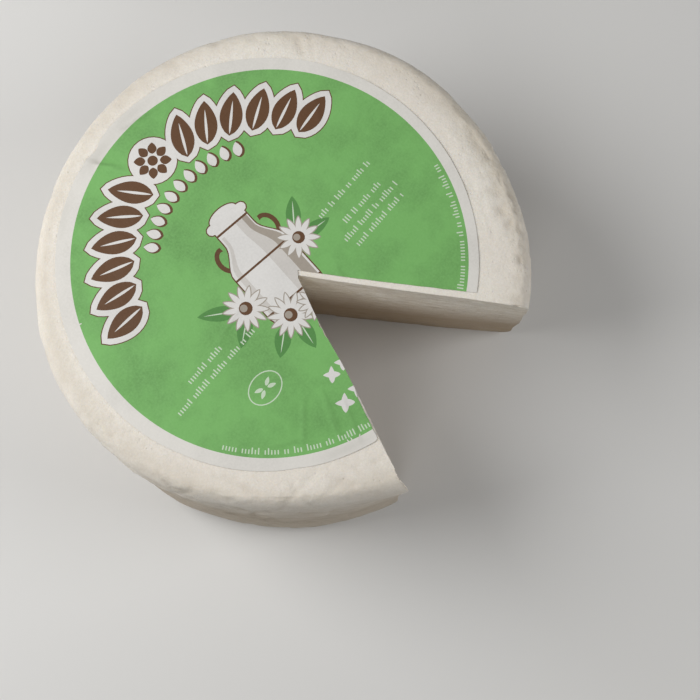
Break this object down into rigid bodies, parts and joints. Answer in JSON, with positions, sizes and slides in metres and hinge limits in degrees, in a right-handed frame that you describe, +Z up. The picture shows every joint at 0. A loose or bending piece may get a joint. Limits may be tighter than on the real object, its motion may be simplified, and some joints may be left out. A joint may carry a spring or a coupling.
{
  "type": "moulded ricotta round",
  "caption": "Moulded round of dried ricotta with a wedge cut out of it and a printed paper label on its top.",
  "frame": {"origin": "where the round's own axis meets its underside", "axes": "+Z up, along the round's axis; the missing wedge opens towards -Y"},
  "size_m": [0.2045, 0.196, 0.0963],
  "materials": {
    "rind": "matte, finely pitted, cream white cheese",
    "printed_paper": "satin printed paper, green with a white margin"
  },
  "bodies": {
    "root": {"ricotta_round": "rind", "paper_label": "printed_paper"}
  },
  "joints": []
}
